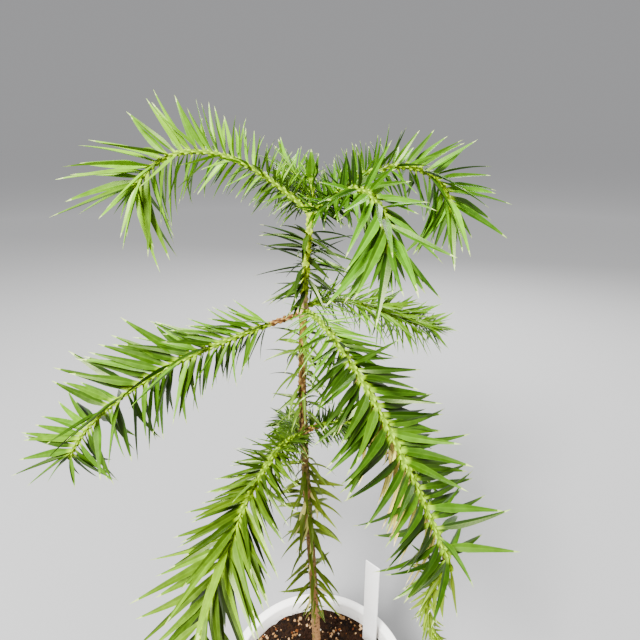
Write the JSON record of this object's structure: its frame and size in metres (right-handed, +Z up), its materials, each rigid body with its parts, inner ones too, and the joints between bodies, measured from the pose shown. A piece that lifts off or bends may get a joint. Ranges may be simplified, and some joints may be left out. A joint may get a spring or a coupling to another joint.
{
  "type": "potted parana pine",
  "caption": "Young parana pine in a round white pot: a slender stem with whorls of arching shoots and sharp broad leaves, and a blank plant label in the soil.",
  "frame": {"origin": "the middle of the pot's flat underside, where the pot stands", "axes": "+Z up along the stem; -Y is the side that the picture shows; +X is to the picture's right"},
  "size_m": [0.3001, 0.2382, 0.5555],
  "materials": {
    "pot": "white satin glaze, smooth",
    "soil": "dark moist potting mix with pale and rusty grains",
    "label": "plain white plastic, blank",
    "bark": "brown bark with old leaf bases, green towards the top",
    "green_bark": "yellow-green young bark",
    "leaf": "stiff leathery leaf, satin, mid green with a paler keel and tip",
    "dark_leaf": "stiff leathery leaf, satin, dark green",
    "young_leaf": "soft young leaf, pale yellow-green"
  },
  "bodies": {
    "root": {"bough_lower_back": "green_bark", "bough_lower_left": "green_bark", "bough_lower_right": "green_bark", "bough_middle_front": "green_bark", "bough_middle_left": "green_bark", "bough_middle_right": "green_bark", "bough_upper_back": "green_bark", "bough_upper_front": "green_bark", "bough_upper_left": "green_bark", "bough_upper_right": "green_bark", "leaves_leader": "leaf", "leaves_lower_back": "leaf", "leaves_lower_left_1": "leaf", "leaves_lower_left_2": "leaf", "leaves_lower_left_3": "leaf", "leaves_lower_right_1": "leaf", "leaves_lower_right_2": "leaf", "leaves_middle_front_1": "leaf", "leaves_middle_front_2": "leaf", "leaves_middle_front_tip": "young_leaf", "leaves_middle_left_1": "leaf", "leaves_middle_left_2": "leaf", "leaves_middle_left_3": "leaf", "leaves_middle_right_1": "leaf", "leaves_middle_right_2": "leaf", "leaves_upper_back_1": "leaf", "leaves_upper_back_2": "leaf", "leaves_upper_front_1": "leaf", "leaves_upper_front_2": "leaf", "leaves_upper_left_1": "leaf", "leaves_upper_left_2": "leaf", "leaves_upper_right_1": "leaf", "leaves_upper_right_2": "leaf", "plant_label": "label", "pot": "pot", "soil": "soil", "stem_leaves_foot": "dark_leaf", "stem_leaves_low": "dark_leaf", "stem_leaves_middle": "dark_leaf", "stem_leaves_upper": "dark_leaf", "trunk": "bark"}
  },
  "joints": []
}
